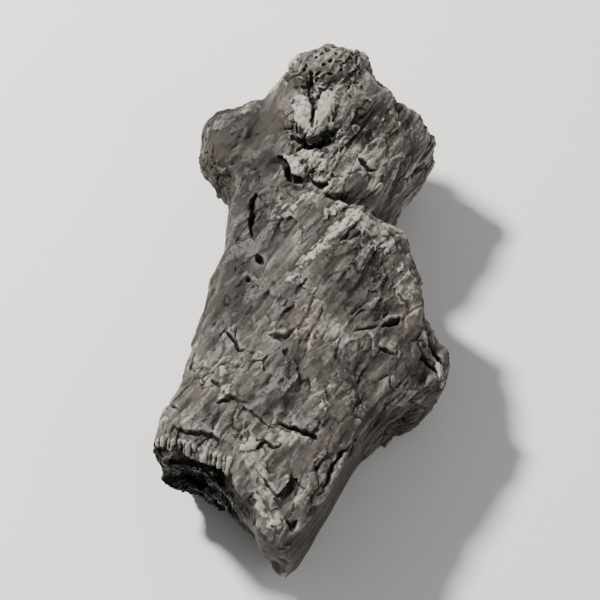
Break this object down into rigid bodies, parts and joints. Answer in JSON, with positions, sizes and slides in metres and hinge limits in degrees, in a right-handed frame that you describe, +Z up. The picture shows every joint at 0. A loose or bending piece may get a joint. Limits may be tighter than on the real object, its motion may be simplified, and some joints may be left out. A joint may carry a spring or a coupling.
{
  "type": "charcoal lump",
  "caption": "Lump of hardwood charcoal: a split billet with a narrow broken tongue, a flaky top face and a stepped, knobbly head. It lies on its flat underside.",
  "frame": {"origin": "under the middle of the lump's outline, on the surface that it lies on", "axes": "+Z up, +Y along the lump from its narrow tongue to its stepped head, +X to the right as seen from the tongue"},
  "size_m": [0.079, 0.1631, 0.0524],
  "materials": {
    "charcoal": "dusty matte dark grey, near black in its cracks, with a faint silvery sheen on fresh facets"
  },
  "bodies": {
    "root": {"lump": "charcoal"}
  },
  "joints": []
}
